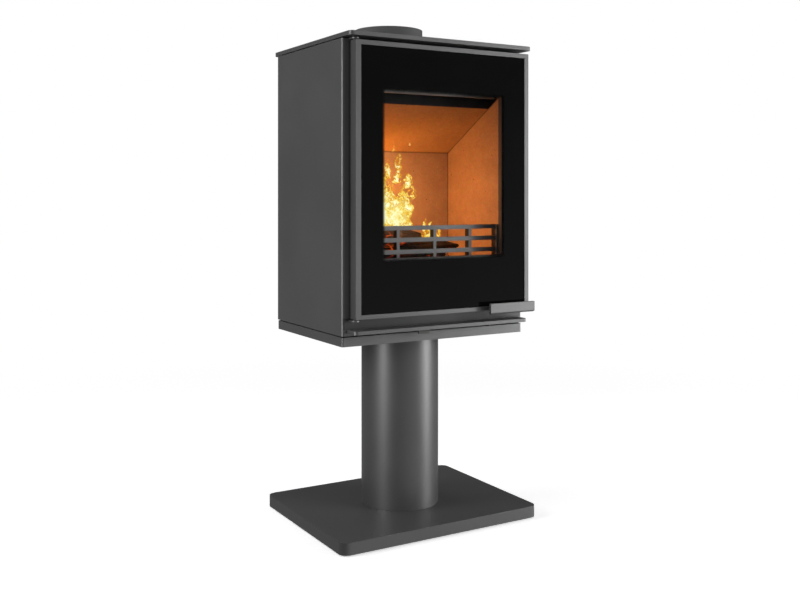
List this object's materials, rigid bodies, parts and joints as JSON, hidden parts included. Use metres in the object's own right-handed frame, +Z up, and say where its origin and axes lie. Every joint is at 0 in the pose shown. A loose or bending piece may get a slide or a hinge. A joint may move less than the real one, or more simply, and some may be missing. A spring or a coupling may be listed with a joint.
{
  "type": "wood burning stove",
  "caption": "Free-standing wood burning stove: a rectangular body with a glazed side-hung door and a top flue collar, carried on a round column and a flat base plate.",
  "frame": {"origin": "on the floor, on the axis of the round column", "axes": "+X to the right seen from the front, +Y to the back (the door faces -Y), +Z up along the column and the flue collar"},
  "size_m": [0.47, 0.38, 1.0594],
  "materials": {
    "graphite_paint": "matte heat-proof paint",
    "firebox_steel": "matte black steel",
    "zinc_steel": "satin zinc plate",
    "bare_steel": "satin bare steel",
    "cast_iron": "matte casting",
    "vermiculite": "matte pressed vermiculite board",
    "fibre_board": "matte ceramic fibre board",
    "fibre_rope": "matte knitted fibre rope",
    "ceramic_glass": "gloss, printed black outside the clear window",
    "handle_metal": "satin grey",
    "pad_rubber": "matte"
  },
  "bodies": {
    "root": {"base_plate": "graphite_paint", "base_pads": "pad_rubber", "column_tube": "graphite_paint", "column_foot_flange": "firebox_steel", "column_head_flange": "firebox_steel", "base_bolts": "zinc_steel", "head_bolts": "zinc_steel", "mounting_plate": "firebox_steel", "bottom_tray": "graphite_paint", "support_rails": "firebox_steel", "air_box": "firebox_steel", "air_slide_guides": "zinc_steel", "casing_shell": "graphite_paint", "back_panel": "graphite_paint", "back_screws": "zinc_steel", "top_plate": "graphite_paint", "top_studs": "firebox_steel", "flue_collar": "cast_iron", "collar_bolts": "zinc_steel", "firebox_floor": "firebox_steel", "firebox_left_wall": "firebox_steel", "firebox_right_wall": "firebox_steel", "firebox_back_wall": "firebox_steel", "firebox_top": "firebox_steel", "firebox_frame": "firebox_steel", "air_wash_ducts": "zinc_steel", "air_wash_channel": "firebox_steel", "air_wash_deflector": "bare_steel", "grate_shelf": "firebox_steel", "grate": "cast_iron", "ash_pan": "zinc_steel", "hearth_brick_left": "vermiculite", "hearth_brick_right": "vermiculite", "hearth_brick_front": "vermiculite", "side_board_left": "vermiculite", "side_board_right": "vermiculite", "rear_board": "vermiculite", "rear_insulation": "fibre_board", "lower_baffle": "vermiculite", "upper_baffle": "firebox_steel", "log_retainer": "cast_iron", "front_lip": "graphite_paint", "upper_hinge_bracket": "graphite_paint", "lower_hinge_bracket": "graphite_paint", "hinge_pins": "bare_steel", "hinge_washers": "bare_steel", "latch_keeper": "zinc_steel"},
    "door": {"door_frame": "graphite_paint", "door_glass": "ceramic_glass", "glass_gasket": "fibre_rope", "door_inner_frame": "firebox_steel", "frame_clips": "zinc_steel", "clip_screws": "bare_steel", "door_rope_seal": "fibre_rope"},
    "latch": {"handle_bar": "handle_metal", "latch_spindle": "bare_steel", "latch_cam": "zinc_steel"},
    "air_control": {"air_slide": "zinc_steel", "air_lever": "firebox_steel"}
  },
  "joints": [
    {"name": "door_hinge", "type": "hinge", "parent": "root", "child": "door", "pos_m": [-0.196, -0.1625, 0.7243], "axis": [0, 0, -1], "range_deg": [0, 110]},
    {"name": "handle_turn", "type": "hinge", "parent": "door", "child": "latch", "pos_m": [0.195, -0.19, 0.4566], "axis": [0, 1, 0], "range_deg": [0, 45]},
    {"name": "air_control_slide", "type": "slide", "parent": "root", "child": "air_control", "axis": [1, 0, 0], "range_m": [0, 0.042]}
  ]
}
